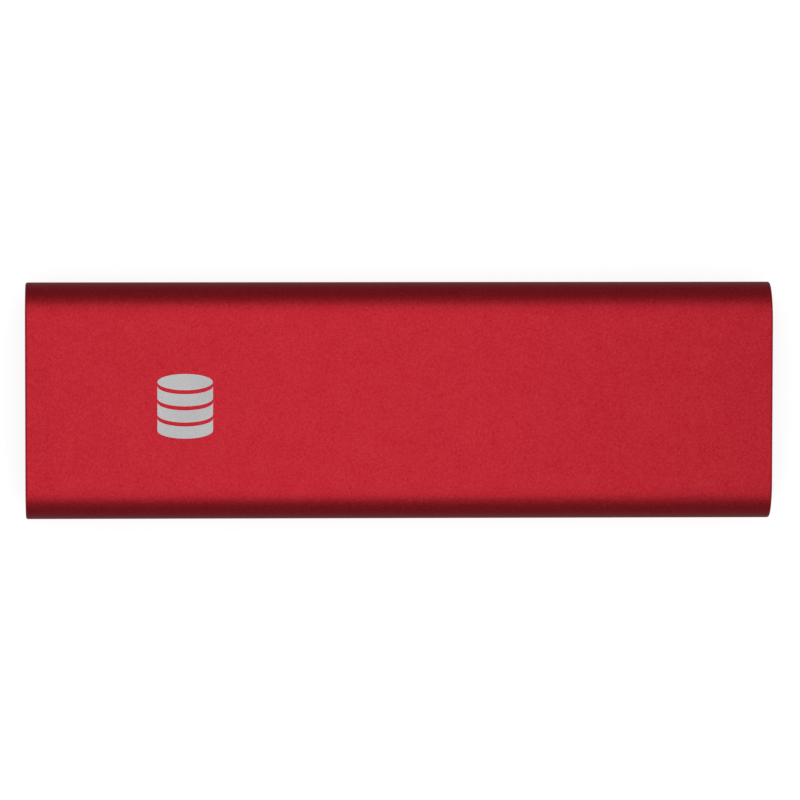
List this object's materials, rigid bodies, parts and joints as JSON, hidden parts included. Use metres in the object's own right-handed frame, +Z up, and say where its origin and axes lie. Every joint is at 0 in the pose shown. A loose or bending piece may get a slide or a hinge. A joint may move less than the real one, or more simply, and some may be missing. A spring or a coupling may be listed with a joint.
{
  "type": "external solid state drive",
  "caption": "Pocket USB-C solid state drive: flash module on a bridge board that slides out of an anodised aluminium tube with black end caps.",
  "frame": {"origin": "middle of the broad face that the drive rests on", "axes": "+X along the length towards the USB-C port, +Y across the width, +Z up through the thickness"},
  "size_m": [0.105, 0.0334, 0.011],
  "materials": {
    "anodised_shell": "bead-blasted, anodised red, satin",
    "cap_plastic": "fine matt texture",
    "black_screw_steel": "black oxide",
    "bright_steel": "nickel plated",
    "standoff_brass": "turned",
    "board_laminate": "green solder mask over glass laminate",
    "chip_epoxy": "moulded epoxy",
    "ferrite": "pressed powder, matt grey",
    "ceramic": "fired ceramic with tinned ends",
    "connector_plastic": "glass-filled nylon",
    "clear_plastic": "frosted clear",
    "thermal_silicone": "soft, matt, faintly tacky",
    "insulator_film": "thin polyester film"
  },
  "bodies": {
    "case": {"outer_shell": "anodised_shell", "insulator_sheet": "insulator_film"},
    "drawer": {"front_cap": "cap_plastic", "light_pipe": "clear_plastic", "status_led": "clear_plastic", "board_screw_left": "bright_steel", "board_screw_right": "bright_steel", "module_screw": "bright_steel", "bridge_board": "board_laminate", "module_board": "board_laminate", "usb_shell": "bright_steel", "usb_tongue": "connector_plastic", "module_socket": "connector_plastic", "bridge_controller": "chip_epoxy", "firmware_flash": "chip_epoxy", "voltage_regulator": "chip_epoxy", "flash_controller": "chip_epoxy", "dram_chip": "chip_epoxy", "nand_chip_1": "chip_epoxy", "nand_chip_2": "chip_epoxy", "module_power_chip": "chip_epoxy", "crystal": "bright_steel", "power_inductor": "ferrite", "module_inductor": "ferrite", "module_standoff": "standoff_brass", "thermal_pad": "thermal_silicone", "board_capacitor_1": "ceramic", "board_capacitor_2": "ceramic", "board_capacitor_3": "ceramic", "board_capacitor_4": "ceramic", "board_capacitor_5": "ceramic", "board_capacitor_6": "ceramic", "board_capacitor_7": "ceramic", "board_capacitor_8": "ceramic", "module_capacitor_1": "ceramic", "module_capacitor_2": "ceramic", "module_capacitor_3": "ceramic", "module_capacitor_4": "ceramic", "module_capacitor_5": "ceramic", "module_capacitor_6": "ceramic", "module_capacitor_7": "ceramic", "module_capacitor_8": "ceramic", "module_capacitor_9": "ceramic", "module_capacitor_10": "ceramic"},
    "rear_cover": {"rear_cap": "cap_plastic"},
    "front_left_screw": {"front_screw_left": "black_screw_steel"},
    "front_right_screw": {"front_screw_right": "black_screw_steel"},
    "rear_left_screw": {"rear_screw_left": "black_screw_steel"},
    "rear_right_screw": {"rear_screw_right": "black_screw_steel"}
  },
  "joints": [
    {"name": "drawer_slide", "type": "slide", "parent": "case", "child": "drawer", "axis": [1, 0, 0], "range_m": [0, 0.11]},
    {"name": "rear_cap_slide", "type": "slide", "parent": "case", "child": "rear_cover", "axis": [-1, 0, 0], "range_m": [0, 0.012]},
    {"name": "front_left_screw_slide", "type": "slide", "parent": "drawer", "child": "front_left_screw", "axis": [1, 0, 0], "range_m": [0, 0.008]},
    {"name": "front_right_screw_slide", "type": "slide", "parent": "drawer", "child": "front_right_screw", "axis": [1, 0, 0], "range_m": [0, 0.008]},
    {"name": "rear_left_screw_slide", "type": "slide", "parent": "rear_cover", "child": "rear_left_screw", "axis": [-1, 0, 0], "range_m": [0, 0.008]},
    {"name": "rear_right_screw_slide", "type": "slide", "parent": "rear_cover", "child": "rear_right_screw", "axis": [-1, 0, 0], "range_m": [0, 0.008]}
  ]
}
